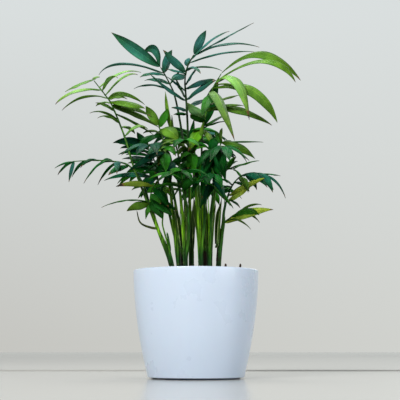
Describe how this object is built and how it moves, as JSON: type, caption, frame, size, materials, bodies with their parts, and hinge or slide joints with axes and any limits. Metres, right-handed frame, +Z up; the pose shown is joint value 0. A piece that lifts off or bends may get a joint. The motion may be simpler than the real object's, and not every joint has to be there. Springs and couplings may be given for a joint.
{
  "type": "potted bamboo palm",
  "caption": "Young bamboo palm with feathery arching fronds, standing in soil in a round, tapered glossy white pot.",
  "frame": {"origin": "centre of the pot's foot, on the surface that it stands on, on the pot's axis", "axes": "+Z up along the pot's axis, -Y towards the side that the picture shows, +X to the right there"},
  "size_m": [0.263, 0.2248, 0.384],
  "materials": {
    "pot": "smooth glossy white with a faint blue cast",
    "soil": "dark crumbly potting soil",
    "fronds_dark": "dark bluish green leaves with a soft waxy sheen",
    "fronds_bright": "bright yellow green young leaves with a soft waxy sheen",
    "dry_stalk": "dried and dull, dark brown"
  },
  "bodies": {
    "root": {"pot": "pot", "soil": "soil", "palm_left": "fronds_bright", "palm_left_mid": "fronds_dark", "palm_tall_left": "fronds_dark", "palm_tall_right": "fronds_dark", "palm_front": "fronds_dark", "palm_right": "fronds_bright", "palm_right_mid": "fronds_dark", "palm_far_right": "fronds_bright", "palm_back_right": "fronds_dark", "palm_back": "fronds_dark", "palm_front_left": "fronds_dark", "palm_back_left": "fronds_dark", "dry_stub_near": "dry_stalk", "dry_stub_far": "dry_stalk"}
  },
  "joints": []
}
